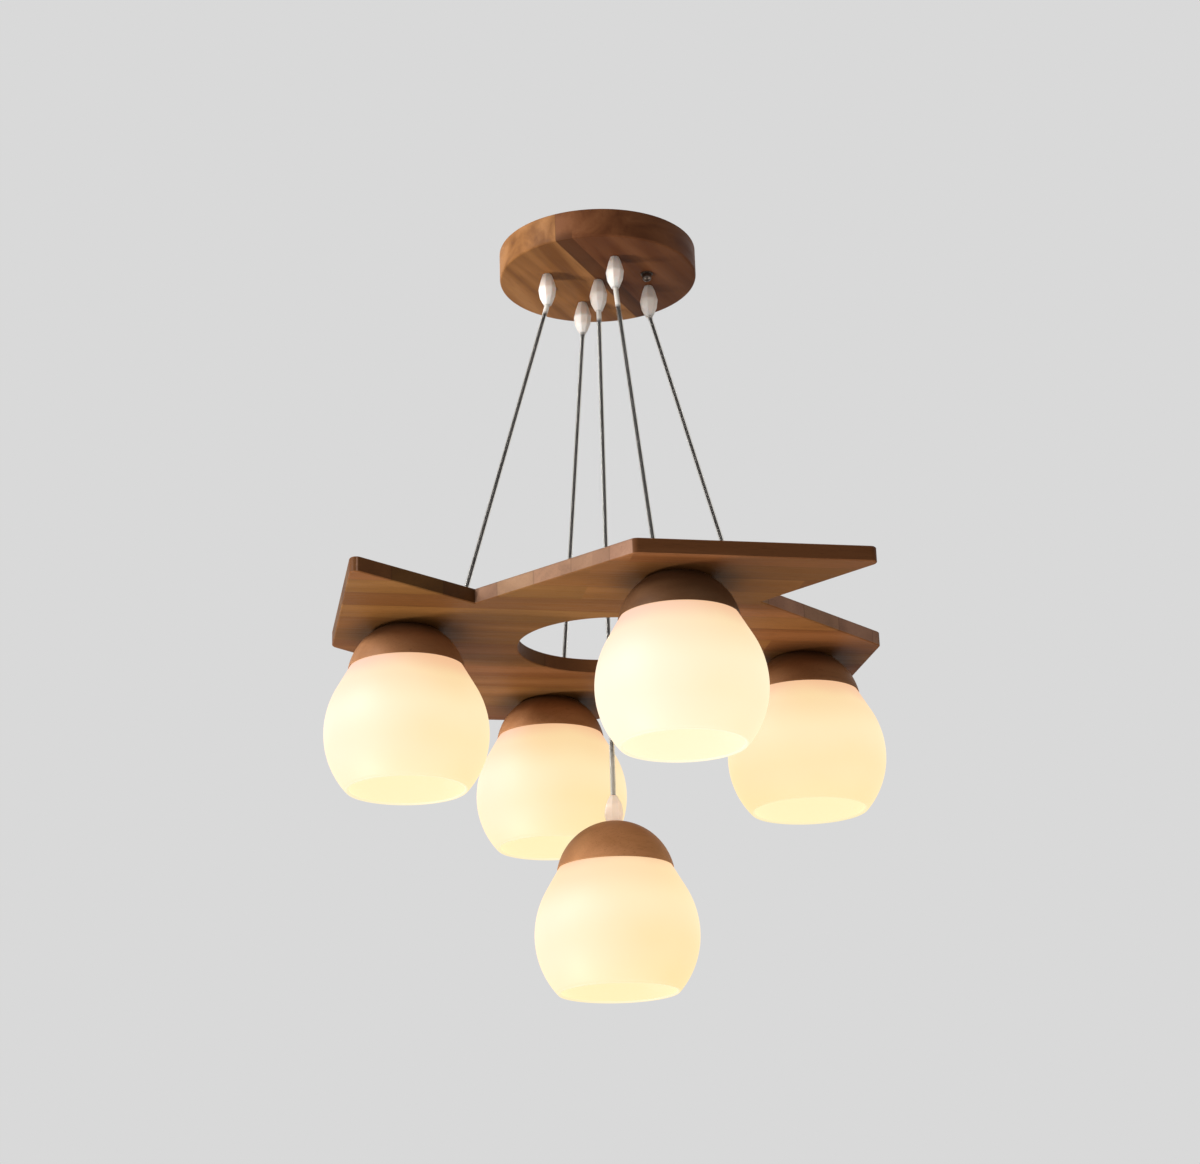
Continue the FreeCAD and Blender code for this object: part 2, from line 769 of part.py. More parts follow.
save("centre_cord_bend", Part.makeSphere(cord_radius, Vector(0, 0, rose_pivot)))
save("centre_cord", centre_cord())
save("pendant_cord_end", pendant_cord_end())
save("pendant_grip", pendant_grip())
save("pendant_nipple", nipple(pendant_nipple_low, pendant_grip_foot + grip_thread))
lamp_pieces["cup"] = (pendant_cup(), 0)
for name, (shape, level) in lamp_pieces.items():
    save("pendant_" + name, moved(shape, 0, 0, pendant_rim + level))
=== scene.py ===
import math

import bmesh
import bpy
import numpy as np
from mathutils import Matrix, Vector


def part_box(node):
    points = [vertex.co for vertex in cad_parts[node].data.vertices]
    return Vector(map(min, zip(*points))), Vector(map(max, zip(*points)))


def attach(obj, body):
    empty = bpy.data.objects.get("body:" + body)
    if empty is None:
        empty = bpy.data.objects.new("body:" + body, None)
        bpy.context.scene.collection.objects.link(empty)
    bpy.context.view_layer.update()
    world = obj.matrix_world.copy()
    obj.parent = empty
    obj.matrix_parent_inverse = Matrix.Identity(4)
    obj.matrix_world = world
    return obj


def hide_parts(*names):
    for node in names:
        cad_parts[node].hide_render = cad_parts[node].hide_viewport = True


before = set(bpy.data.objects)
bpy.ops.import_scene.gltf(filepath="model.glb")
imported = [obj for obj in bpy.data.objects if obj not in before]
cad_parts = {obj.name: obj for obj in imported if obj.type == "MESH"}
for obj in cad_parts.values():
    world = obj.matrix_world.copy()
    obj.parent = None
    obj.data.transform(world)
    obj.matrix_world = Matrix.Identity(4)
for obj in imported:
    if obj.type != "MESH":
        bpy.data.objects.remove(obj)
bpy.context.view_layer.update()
scene = bpy.context.scene

# The view and the light. The camera stands low in front of the object and looks up at it. Broad
# soft lamps light it: one low and one high on the left, one in front on the left, one under it
# and a weak one on the right. The floor and the surroundings are an even pale grey.
camera_place = (-0.4084, -2.1638, -1.1071)
camera_heading = -10.517
camera_pitch = 19.097
camera_roll = 1.661
focal_pixels = 2455.7
picture_width = 1200
lamps_aim = (0.0, 0.0, -0.4)
wall_tone = (0.694, 0.694, 0.694)
room_tint = (1, 0.94, 0.88)
room_strength = 0.18
floor_level = -2.8
floor_reach = 6
floor_lift = 0.58

camera = bpy.data.objects.new("camera", bpy.data.cameras.new("camera"))
scene.collection.objects.link(camera)
camera.data.lens = focal_pixels / picture_width * camera.data.sensor_width
camera.matrix_world = (
    Matrix.Translation(camera_place)
    @ Matrix.Rotation(math.radians(camera_heading), 4, "Z")
    @ Matrix.Rotation(math.radians(90 + camera_pitch), 4, "X")
    @ Matrix.Rotation(math.radians(-camera_roll), 4, "Z")
)
scene.camera = camera
scene.view_settings.view_transform = "Standard"


def add(tree, kind, inputs=None, **settings):
    """Adds a shader node, sets it up and feeds its inputs with values or other sockets."""
    made = tree.nodes.new(kind)
    for key, value in settings.items():
        setattr(made, key, value)
    for key, value in (inputs or {}).items():
        if isinstance(value, bpy.types.NodeSocket):
            tree.links.new(value, made.inputs[key])
        else:
            made.inputs[key].default_value = value
    return made


def maths(tree, a, b, operation="ADD"):
    """Result of a two-number operation in a shader."""
    return add(tree, "ShaderNodeMath", {0: a, 1: b}, operation=operation).outputs[0]


def fresh_finish(name):
    """A new material, its shader tree and the main shader in it."""
    material = bpy.data.materials.new(name)
    material.use_nodes = True
    tree = material.node_tree
    return material, tree, tree.nodes["Principled BSDF"]


def pale_surroundings():
    """Even grey surroundings, which show at full tone behind the light and in its gloss."""
    world = bpy.data.worlds.new("surroundings")
    world.use_nodes = True
    tree = world.node_tree
    tree.nodes.clear()
    rays = add(tree, "ShaderNodeLightPath").outputs
    seen = maths(tree, rays["Is Camera Ray"], rays["Is Glossy Ray"], "MAXIMUM")
    seen = maths(tree, seen, rays["Is Transmission Ray"], "MAXIMUM")
    lit = add(tree, "ShaderNodeBackground", {"Color": (*room_tint, 1), "Strength": room_strength})
    shown = add(tree, "ShaderNodeBackground", {"Color": (*wall_tone, 1), "Strength": 1.0})
    mixed = add(tree, "ShaderNodeMixShader", {0: seen, 1: lit.outputs[0], 2: shown.outputs[0]})
    add(tree, "ShaderNodeOutputWorld", {"Surface": mixed.outputs[0]})
    scene.world = world


def floor_paint():
    """Pale matt paint that looks as light as the surroundings, with the object's shadow on it."""
    material, tree, shader = fresh_finish("pale_floor_paint")
    shader.inputs["Base Color"].default_value = (*wall_tone, 1)
    shader.inputs["Roughness"].default_value = 0.9
    shader.inputs["Emission Color"].default_value = (*wall_tone, 1)
    seen = add(tree, "ShaderNodeLightPath").outputs["Is Camera Ray"]
    lift = maths(tree, seen, floor_lift, "MULTIPLY")
    tree.links.new(lift, shader.inputs["Emission Strength"])
    return material


def soft_lamp(name, place, size, power, tint):
    """Square area lamp at place, turned towards the middle of the object."""
    data = bpy.data.lights.new(name, "AREA")
    data.size = size
    data.energy = power
    data.color = tint
    lamp = bpy.data.objects.new(name, data)
    lamp.location = place
    aim = Vector(lamps_aim) - Vector(place)
    lamp.rotation_euler = aim.to_track_quat("-Z", "Y").to_euler()
    scene.collection.objects.link(lamp)


pale_surroundings()
soft_lamp("left_lamp", (-1.75, -0.2, -2.15), 0.4, 50, (1.0, 0.98, 0.95))
soft_lamp("high_lamp", (-2.05, -0.6, 0.6), 1.0, 52, (1.0, 0.97, 0.95))
soft_lamp("front_lamp", (-1.95, -1.5, -1.0), 1.2, 16, (1.0, 0.98, 0.95))
soft_lamp("floor_lamp", (0.0, -0.4, -2.7), 2.4, 30, (1.0, 0.97, 0.93))
soft_lamp("right_lamp", (1.9, -1.0, -1.5), 1.2, 15, (1.0, 0.92, 0.84))

floor = bpy.data.objects.new("floor", bpy.data.meshes.new("floor"))
floor_corners = [
    (-floor_reach, -floor_reach, floor_level),
    (floor_reach, -floor_reach, floor_level),
    (floor_reach, floor_reach, floor_level),
    (-floor_reach, floor_reach, floor_level),
]
floor.data.from_pydata(floor_corners, [], [(0, 1, 2, 3)])
scene.collection.objects.link(floor)
floor.data.materials.append(floor_paint())

# The ceiling rose: a round dish of dark oiled wood, glued up from two wide planks whose joint
# runs through its middle, turned on a lathe and eased along its lower edge.
rose_low, rose_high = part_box("ceiling_rose")
rose_radius = (rose_high.x - rose_low.x) / 2
rose_wall = 0.010
rose_floor = rose_low.z + 0.009
rose_roundings = (0, 0.001, 0.0008, 0.0008, 0.0024, 0)
nearly_half = 0.45
pole_gap = 1e-6
rose_tones = ((0.136, 0.054, 0.017), (0.216, 0.094, 0.031), (0.292, 0.136, 0.050))
plank_heading = 55.4
brown_plank = 0.66
pale_plank = 1.15
brown_hue = 0.487
even_hue = 0.5
streak_width = 0.017
streak_height = 0.010
streak_full = 0.001
streak_darker = 0.28
grain_shift = 9.7
joint_line = 0.0006
joint_darker = 0.45
pore_darker = 0.3
pore_depth = 1.6
pore_tone = 0.35
ring_level = 0.42
fibre_share = 0.16
wood_dullness = (0.42, 0.56)


def eased(corners, radius, steps=6):
    """Outline whose corners are replaced by parabolas that begin and end a radius away from
    them, or nearly halfway along a shorter side. The point at t on one is
    (1 - t)^2 start + 2 t (1 - t) corner + t^2 end. The radius may be one per corner."""
    corners = np.array(corners, float)
    back = np.roll(corners, 1, axis=0) - corners
    ahead = np.roll(corners, -1, axis=0) - corners
    back_length = np.linalg.norm(back, axis=1, keepdims=True)
    ahead_length = np.linalg.norm(ahead, axis=1, keepdims=True)
    radius = np.broadcast_to(np.asarray(radius, float).reshape(-1, 1), back_length.shape)
    start = corners + back / back_length * np.minimum(radius, nearly_half * back_length)
    end = corners + ahead / ahead_length * np.minimum(radius, nearly_half * ahead_length)
    t = np.linspace(0, 1, steps)[None, :, None]
    bend = 2 * t * (1 - t) * corners[:, None]
    return ((1 - t) ** 2 * start[:, None] + bend + t**2 * end[:, None]).reshape(-1, 2)


def welded(name, points, faces, gap, sharp, values=None, outwards=True):
    """Piece of these points and faces. Points closer than the gap become one, as at a pole, and
    edges that turn by more than the sharp angle stay crisp. values are numbers kept on each
    point for the material to read. outwards turns every face to the outside."""
    mesh = bpy.data.meshes.new(name)
    mesh.from_pydata(points.reshape(-1, 3).tolist(), [], faces.tolist())
    for key, value in (values or {}).items():
        mesh.attributes.new(key, "FLOAT", "POINT").data.foreach_set("value", value)
    build = bmesh.new()
    build.from_mesh(mesh)
    bmesh.ops.remove_doubles(build, verts=build.verts, dist=gap)
    if outwards:
        bmesh.ops.recalc_face_normals(build, faces=build.faces)
    build.to_mesh(mesh)
    build.free()
    mesh.shade_smooth()
    mesh.set_sharp_from_angle(angle=math.radians(sharp))
    piece = bpy.data.objects.new(name, mesh)
    scene.collection.objects.link(piece)
    return piece


def skin(name, grid, closed=False, values=None, sharp=32):
    """Piece over a grid of points [row, column, xyz] whose columns go all the way round. closed
    joins the last row to the first. values hold a number for each point or row, or one for
    all."""
    rows, columns = grid.shape[:2]
    index = np.arange(rows * columns).reshape(rows, columns)
    index = np.concatenate([index, index[:, :1]], axis=1)
    if closed:
        index = np.concatenate([index, index[:1]], axis=0)
    corners = [index[:-1, :-1], index[:-1, 1:], index[1:, 1:], index[1:, :-1]]
    quads = np.stack(corners, axis=-1).reshape(-1, 4)
    spread = {}
    for key, value in (values or {}).items():
        spread[key] = np.broadcast_to(value, (rows, columns)).ravel()
    return welded(name, grid, quads, pole_gap, sharp, spread)


def turned(name, outline, centre, closed=False, steps=128, **more):
    """Surface of revolution: the outline point (r, z) goes round the upright line through
    centre, at (x + r cos t, y + r sin t, z)."""
    t = np.linspace(0, 2 * math.pi, steps, endpoint=False)
    r, z = np.asarray(outline).T[:, :, None]
    x = centre[0] + r * np.cos(t)
    y = centre[1] + r * np.sin(t)
    return skin(name, np.stack([x, y, z + 0 * t], axis=-1), closed, **more)


def settle(piece, material, body, slot, *nodes):
    """Gives a finished piece its material, its body and the nodes it stands for. slot is not used.
    """
    piece.data.materials.clear()
    piece.data.materials.append(material)
    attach(piece, body)
    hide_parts(*nodes)


def object_place(tree):
    """The place on the object, in metres, which every pattern follows."""
    return add(tree, "ShaderNodeTexCoord").outputs["Object"]


def mapped(tree, value, source, result, way="LINEAR"):
    """A number in the source range carried over to the result range, and kept within it."""
    ends = {"From Min": source[0], "From Max": source[1], "To Min": result[0], "To Max": result[1]}
    made = add(tree, "ShaderNodeMapRange", {"Value": value, **ends}, interpolation_type=way)
    return made.outputs[0]


def noise(tree, place, scale, detail, distortion=0.0):
    """Soft random spots, about scale of them to a metre, as a number from 0 to 1."""
    inputs = {"Vector": place, "Scale": scale, "Detail": detail, "Distortion": distortion}
    return add(tree, "ShaderNodeTexNoise", inputs).outputs[0]


def drawn_out(tree, grain, along, across, detail, distortion=0.0):
    """Noise drawn out along the grain: so many spots to a metre along it and across it."""
    stretched = add(tree, "ShaderNodeMapping", {"Vector": grain, "Scale": (along, across, across)})
    return noise(tree, stretched.outputs[0], 1.0, detail, distortion)


def ramped(tree, value, way, *stops):
    """A colour that follows a number. Each stop is a number and the colour there."""
    ramp = add(tree, "ShaderNodeValToRGB", {"Fac": value})
    ramp.color_ramp.interpolation = way
    elements = ramp.color_ramp.elements
    for element, (share, colour) in zip(elements, (stops[0], stops[-1])):
        element.position = share
        element.color = (*colour, 1)
    for share, colour in stops[1:-1]:
        elements.new(share).color = (*colour, 1)
    return ramp.outputs[0]


def blended(tree, share, first, second):
    """A colour that lies a share of the way from the first colour to the second."""
    colours = [c if isinstance(c, bpy.types.NodeSocket) else (*c, 1) for c in (first, second)]
    inputs = {0: share, 6: colours[0], 7: colours[1]}
    return add(tree, "ShaderNodeMix", inputs, data_type="RGBA").outputs[2]


def give_relief(tree, shader, height, strength, depth):
    """Lets light catch a fine relief in a surface."""
    bump = add(tree, "ShaderNodeBump", {"Height": height, "Strength": strength, "Distance": depth})
    tree.links.new(bump.outputs[0], shader.inputs["Normal"])


def rose_planks(tree, axes):
    """Layout of the rose: a brown plank and a pale one, with a dark streak in the brown one
    beside the joint. The streak shows on the face and fades a little way up the rim."""
    reach = mapped(tree, axes["Y"], (-rose_radius, rose_radius), (0, 1))
    planks = ramped(
        tree,
        reach,
        "CONSTANT",
        (0.0, (brown_plank, 0.0, 0.0)),
        (0.5 - streak_width / (2 * rose_radius), (brown_plank, 1.0, 0.0)),
        (0.5, (pale_plank, 0.0, 1.0)),
    )
    parts = add(tree, "ShaderNodeSeparateColor", {0: planks}).outputs
    fading = (rose_low.z + streak_height, rose_low.z + streak_full)
    near_face = mapped(tree, axes["Z"], fading, (0, 1))
    streak = maths(tree, maths(tree, parts[1], near_face, "MULTIPLY"), streak_darker, "MULTIPLY")
    tone = maths(tree, parts[0], streak, "SUBTRACT")
    hue = mapped(tree, parts[2], (0, 1), (brown_hue, even_hue))
    shift = maths(tree, parts[0], grain_shift, "MULTIPLY")
    joint = maths(tree, axes["Y"], 0.0, "ABSOLUTE")
    return tone, hue, 1.0, shift, joint


def oiled_wood(name, heading, tones, layout, figure):
    """Oiled wood whose grain lies along a heading: long soft rings, fine fibres and short dark
    pores. tones are the dark, the middle and the light colour of the grain, and figure is how
    strongly the rings show. layout says how the wood is glued up: it gives the tone, the hue
    and the colour strength of the plank at a place, the shift of its grain, and how far the
    nearest joint is."""
    material, tree, shader = fresh_finish(name)
    turn = {"Vector": object_place(tree), "Rotation": (0, 0, -math.radians(heading))}
    along = add(tree, "ShaderNodeMapping", turn)
    axes = add(tree, "ShaderNodeSeparateXYZ", {0: along.outputs[0]}).outputs
    tone, hue, strength, shift, joint = layout(tree, axes)
    slid = {"X": maths(tree, axes["X"], shift), "Y": axes["Y"], "Z": axes["Z"]}
    grain = add(tree, "ShaderNodeCombineXYZ", slid).outputs[0]

    rings = drawn_out(tree, grain, along=2.6, across=30, detail=3.0, distortion=0.7)
    fibres = drawn_out(tree, grain, along=9, across=420, detail=2.0)
    specks = drawn_out(tree, grain, along=70, across=1300, detail=1.0)
    pores = mapped(tree, specks, (0.6, 0.72), (0, 1))

    swing = maths(tree, maths(tree, rings, 0.5, "SUBTRACT"), figure, "MULTIPLY")
    level = maths(tree, swing, ring_level)
    level = maths(tree, level, maths(tree, fibres, fibre_share, "MULTIPLY"))
    dark, middle, light = tones
    stain = ramped(tree, level, "LINEAR", (0.25, dark), (0.5, middle), (0.75, light))
    toning = {"Hue": hue, "Saturation": strength, "Value": tone, "Color": stain}
    toned = add(tree, "ShaderNodeHueSaturation", toning).outputs[0]
    line = mapped(tree, joint, (0, joint_line), (joint_darker, 0))
    dimming = maths(tree, maths(tree, pores, pore_darker, "MULTIPLY"), line, "MAXIMUM")
    deepest = tuple(part * pore_tone for part in dark)
    tree.links.new(blended(tree, dimming, toned, deepest), shader.inputs["Base Color"])

    worn = mapped(tree, fibres, (0.3, 0.7), wood_dullness)
    tree.links.new(worn, shader.inputs["Roughness"])
    relief = maths(tree, fibres, maths(tree, pores, pore_depth, "MULTIPLY"), "SUBTRACT")
    give_relief(tree, shader, relief, strength=0.25, depth=0.0002)
    shader.inputs["Specular IOR Level"].default_value = 0.08
    return material


rose_wood = oiled_wood("rose_oiled_wood", plank_heading, rose_tones, rose_planks, figure=1.6)
rose_corners = [
    (0, rose_floor),
    (rose_radius - rose_wall, rose_floor),
    (rose_radius - rose_wall, rose_high.z),
    (rose_radius, rose_high.z),
    (rose_radius, rose_low.z),
    (0, rose_low.z),
]
rose_outline = eased(rose_corners, rose_roundings)
rose = turned("ceiling_rose_dish", rose_outline, (0, 0), steps=192)
settle(rose, rose_wood, "root", "rose_wood", "ceiling_rose")

# The two cap nuts that hold the rose up: turned steel domes with a thin flange, bronzed dark.
# Each is screwed from below onto a stud that hangs from the ceiling strap.
nut_low, nut_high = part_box("rose_cap_nuts")
nut_flange = 0.006
nut_flange_thickness = 0.0012
nut_radius = 0.0046
nut_straight = 0.004
nut_thread_depth = 0.005
nut_thread_radius = 0.002
nut_ease = 0.0003


def nut_outline(seat):
    """Outline of a cap nut under its seat: the threaded hole, the flange with its edges eased,
    and a quarter-round dome, whose point at the angle a is (R cos a, level - R sin a)."""
    hole_end = seat - nut_thread_depth
    hole = [(0, hole_end), (nut_thread_radius, hole_end), (nut_thread_radius, seat)]
    flange_corners = [
        (nut_thread_radius + 0.0001, seat),
        (nut_flange, seat),
        (nut_flange, seat - nut_flange_thickness),
        (nut_radius, seat - nut_flange_thickness),
    ]
    a = np.linspace(0, math.pi / 2, 12)
    dome_z = seat - nut_straight - nut_radius * np.sin(a)
    dome = np.stack([nut_radius * np.cos(a), dome_z], axis=-1)
    return np.concatenate([hole, eased(flange_corners, (0, nut_ease, nut_ease, 0)), dome])


def brushed_metal(name, colour, roughness, scale=900):
    """Metal with fine random scratches, about scale of them to a metre, and a little uneven
    dullness."""
    material, tree, shader = fresh_finish(name)
    place = object_place(tree)
    fine = noise(tree, place, scale, detail=4.0)
    broad = noise(tree, place, scale=90.0, detail=2.0)
    darker = tuple(part * 0.8 for part in colour)
    lighter = tuple(part * 1.2 for part in colour)
    tone = blended(tree, broad, darker, lighter)
    tree.links.new(tone, shader.inputs["Base Color"])
    dull = mapped(tree, fine, (0, 1), (roughness * 0.7, roughness * 1.3))
    tree.links.new(dull, shader.inputs["Roughness"])
    give_relief(tree, shader, fine, strength=0.1, depth=0.0001)
    shader.inputs["Metallic"].default_value = 1.0
    return material


bronzed_steel = brushed_metal("bronzed_steel", (0.12, 0.095, 0.08), 0.3)
nut_x = (nut_high.x - nut_low.x) / 2 - nut_flange
nut_y = (nut_high.y - nut_low.y) / 2 - nut_flange
for number, side in enumerate((1, -1), 1):
    nut_place = (side * nut_x, -side * nut_y)
    nut = turned("rose_cap_nut_%d" % number, nut_outline(nut_high.z), nut_place, steps=48)
    settle(nut, bronzed_steel, "root", "dark_steel", *(["rose_cap_nuts"] if number == 1 else []))

# The cord grips: cream buds of moulded plastic with eight soft facets, each with a threaded
# spigot at its neck. Five hang under the rose and four squat ones stand on the board. The one on
# the lone cup has a round foot instead of the spigot, screwed onto the cup's threaded tube.
numbers = (1, 2, 3, 4)
grip_sides = 8
bud_stations = (
    (0.0, 0.0043),
    (0.0055, 0.0064),
    (0.0155, 0.0090),
    (0.0245, 0.0077),
    (0.0300, 0.0052),
    (0.0330, 0.0037),
)
squat_stations = ((0.0, 0.0068), (0.003, 0.0074), (0.008, 0.0060), (0.011, 0.0044))
grip_bore = 0.00255
grip_flare = 0.0031
flare_depth = 0.004
lip = 0.0003
lip_corner = 0.3 * lip
spigot_radius = 0.004
spigot_ease = 0.0002
lone_foot_radius = 0.0069
lone_foot_height = 0.009
tube_bore = 0.00505
tube_depth = 0.008
crease_reach = 0.0004


def middle_of(node):
    """Middle of a node's box, seen from above."""
    low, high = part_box(node)
    return (low.x + high.x) / 2, (low.y + high.y) / 2


def cream_plastic(name, glow):
    """Moulded cream plastic, slightly pink in its folds, with a soft uneven sheen. glow is the
    strength of a painted glow, an emission that stands in for the light of the lamps beside it."""
    material, tree, shader = fresh_finish(name)
    place = object_place(tree)
    cloud = noise(tree, place, scale=120.0, detail=3.0)
    tone = blended(tree, cloud, (0.88, 0.74, 0.67), (0.95, 0.87, 0.82))
    tree.links.new(tone, shader.inputs["Base Color"])
    fine = noise(tree, place, scale=1400.0, detail=2.0)
    tree.links.new(mapped(tree, fine, (0, 1), (0.34, 0.52)), shader.inputs["Roughness"])
    give_relief(tree, shader, fine, strength=0.08, depth=0.0001)
    shader.inputs["Subsurface Weight"].default_value = 0.8
    shader.inputs["Subsurface Radius"].default_value = (1.0, 0.8, 0.7)
    shader.inputs["Subsurface Scale"].default_value = 0.01
    # Painted light: a warm emission as strong as glow.
    shader.inputs["Emission Color"].default_value = (1.0, 0.70, 0.50, 1)
    shader.inputs["Emission Strength"].default_value = glow
    return material


def bud(name, foot, way, stations, spigot, facets_from=0.0, foot_radius=None):
    """Faceted bud. Its corner radius follows the stations, softened where they meet, and a
    point at the angle t is that radius times cos(a) / cos(b), where a is half a facet's angle
    and b the angle from the facet's middle. The bore is round, and so is the spigot, or the
    foot that stands in for it. way is -1 where the bud hangs mouth down and 1 where it stands."""
    length = stations[-1][0]
    depth = np.linspace(facets_from, length, 45)
    blur = np.linspace(-crease_reach, crease_reach, 5)
    radius = np.interp(depth[:, None] + blur, *zip(*stations)).mean(axis=1)
    outer = np.stack([radius, depth], axis=-1)
    outer[-1] = (radius[-1] - lip_corner, length - lip_corner)
    mouth = [(radius[-1] - lip, length), (grip_flare + lip, length)]
    bore = [(grip_flare, length - lip), (grip_bore, length - flare_depth)]
    if foot_radius:
        back = [(grip_bore, tube_depth + 0.0005), (tube_bore, tube_depth), (tube_bore, 0.0)]
        neck = [(foot_radius - lip, 0.0), (foot_radius, lip), (foot_radius, facets_from)]
    else:
        back = [(grip_bore, -spigot), (spigot_radius - spigot_ease, -spigot)]
        neck = [(spigot_radius, -spigot + spigot_ease), (spigot_radius, facets_from)]
    outline = np.concatenate([outer, mouth, bore, back, neck])
    facet = np.zeros((len(outline), 1))
    facet[: len(outer) + 1] = 1.0
    t = np.linspace(0, 2 * math.pi, 96, endpoint=False)
    half = math.pi / grip_sides
    shape = math.cos(half) / np.cos((t + half) % (2 * half) - half)
    r = outline[:, :1] * (1 + facet * (shape - 1))
    z = foot[2] + way * outline[:, 1:]
    grid = np.stack([foot[0] + r * np.cos(t), foot[1] + r * np.sin(t), z + 0 * t], axis=-1)
    return skin(name, grid, closed=True, sharp=25)


grip_cream = cream_plastic("cream_plastic", 0.0)
# The lone cup's grip glows with painted light, though it is no lamp, standing in for the light of
# the globes round it.
painted_glow_cream = cream_plastic("painted_glow_cream_plastic", 0.3)
board_low, board_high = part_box("board")
for owner in [str(n) for n in numbers] + ["centre"]:
    node = "rose_grip_" + owner
    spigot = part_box(node)[1].z - rose_low.z
    hung = bud("hanging_grip_" + owner, (*middle_of(node), rose_low.z), -1, bud_stations, spigot)
    settle(hung, grip_cream, "root", "grip_plastic", node)
for n in numbers:
    node = "board_grip_%d" % n
    spigot = board_high.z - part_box(node)[0].z
    stood = bud("low_grip_%d" % n, (*middle_of(node), board_high.z), 1, squat_stations, spigot)
    settle(stood, grip_cream, "board", "grip_plastic", node)
lone_low, lone_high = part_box("pendant_grip")
lone_foot = (0, 0, lone_low.z)
lone = bud("lone_cup_grip", lone_foot, 1, bud_stations, 0, lone_foot_height, lone_foot_radius)
settle(lone, painted_glow_cream, "lamp", "grip_plastic", "pendant_grip")

# The cords: a clear soft jacket round a thin core of braided steel, grey through the jacket. Four
# run taut from the rose to the board and the fifth carries the lone lamp. Grips hold their ends.
cord_radius = 0.0025
core_radius = 0.0011
milky_lengths = (0.009, 0.022, 0.001, 0.001)
centre_milky_length = 0.010
milky_fade = 0.002
lamp_milky_full = 0.030
lamp_milky_end = 0.055
lamp_milky_share = 0.6
clearest = 0.97
milkiest = 0.3


def clear_jacket(name, milky_length):
    """Clear soft plastic with a faint haze on its surface. It turns milky for a length of its
    own under the rose's grips, and above the lone lamp's."""
    material, tree, shader = fresh_finish(name)
    place = object_place(tree)
    cloud = noise(tree, place, scale=60.0, detail=3.0)
    tree.links.new(mapped(tree, cloud, (0, 1), (0.03, 0.12)), shader.inputs["Roughness"])
    tone = blended(tree, cloud, (0.86, 0.83, 0.77), (0.95, 0.93, 0.89))
    tree.links.new(tone, shader.inputs["Base Color"])
    level = add(tree, "ShaderNodeSeparateXYZ", {0: place}).outputs["Z"]
    milky_end = rose_low.z - bud_stations[-1][0] - milky_length
    under_rose = mapped(tree, level, (milky_end - milky_fade, milky_end + milky_fade), (0, 1))
    fading = (lone_high.z + lamp_milky_end, lone_high.z + lamp_milky_full)
    over_lamp = mapped(tree, level, fading, (0, 1))
    over_lamp = maths(tree, over_lamp, lamp_milky_share, "MULTIPLY")
    milky = maths(tree, under_rose, over_lamp, "MAXIMUM")
    clear = mapped(tree, milky, (0, 1), (clearest, milkiest))
    tree.links.new(clear, shader.inputs["Transmission Weight"])
    shader.inputs["IOR"].default_value = 1.3
    shader.inputs["Subsurface Weight"].default_value = 1.0
    shader.inputs["Subsurface Radius"].default_value = (1.0, 1.0, 1.0)
    shader.inputs["Subsurface Scale"].default_value = 0.003
    return material


def taut_line(name, top, low):
    """Round cord on a straight NURBS route from top to low."""
    data = bpy.data.curves.new(name, "CURVE")
    data.dimensions = "3D"
    spline = data.splines.new("NURBS")
    spline.points.add(3)
    share = np.array([0, 1 / 3, 2 / 3, 1])[:, None]
    points = np.array(top) * (1 - share) + np.array(low) * share
    spline.points.foreach_set("co", np.concatenate([points, np.ones((4, 1))], axis=1).ravel())
    spline.order_u = 3
    spline.use_endpoint_u = True
    data.bevel_depth = cord_radius
    data.bevel_resolution = 6
    data.use_fill_caps = True
    cord = bpy.data.objects.new(name, data)
    scene.collection.objects.link(cord)
    return cord


def hang_cord(node, top, low, body, milky_length):
    jacket = clear_jacket(node + "_jacket", milky_length)
    cord = taut_line(node + "_jacket", top, low)
    core = bpy.data.objects.new(node + "_core", cord.data.copy())
    core.data.bevel_depth = core_radius
    scene.collection.objects.link(core)
    settle(core, braid, body, "cord")
    settle(cord, jacket, body, "cord", node)


def leaning_ends(node):
    """Where a leaning cord's centreline starts and ends: the middles of its ball ends, each a
    cord's radius inside the node's box."""
    low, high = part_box(node)
    centre = Vector(middle_of(node))
    half = Vector(((high.x - low.x) / 2 - cord_radius, (high.y - low.y) / 2 - cord_radius))
    outward = centre.normalized() * half.length
    top = (*(centre - outward), high.z - cord_radius)
    foot = (*(centre + outward), low.z + cord_radius)
    return top, foot


braid = brushed_metal("steel_braid", (0.10, 0.095, 0.095), 0.8, scale=9000)
for n, milky_length in zip(numbers, milky_lengths):
    node = "board_cord_%d" % n
    hang_cord(node, *leaning_ends(node), "cord_%d" % n, milky_length)
bend_low, bend_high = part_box("centre_cord_bend")
centre_top = (0, 0, (bend_low.z + bend_high.z) / 2)
centre_end = (0, 0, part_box("centre_cord")[0].z)
hang_cord("centre_cord", centre_top, centre_end, "lamp_cord", centre_milky_length)

# The board: short staves of warm oiled wood glued up in rows, cut to a pinwheel of four fins with
# a round hole, its edges lightly eased and its top routed for the wires, which thin slips cover.
board_tones = ((0.105, 0.040, 0.011), (0.170, 0.068, 0.020), (0.235, 0.102, 0.036))
stave_width = 0.034
stave_line = 0.100
stave_length = 0.33
stave_seed = 3.0
stave_tones = (0.82, 1.15)
stave_hues = (0.492, 0.507)
# Painted shade on the underside round the cups, where shade falls in the corner: its reach from
# each cup, its depth, and the heights over the underside where it fades out.
painted_shade_reach = (0.032, 0.068)
painted_shade_depth = 0.45
painted_shade_height = 0.004
painted_shade_full = 0.001
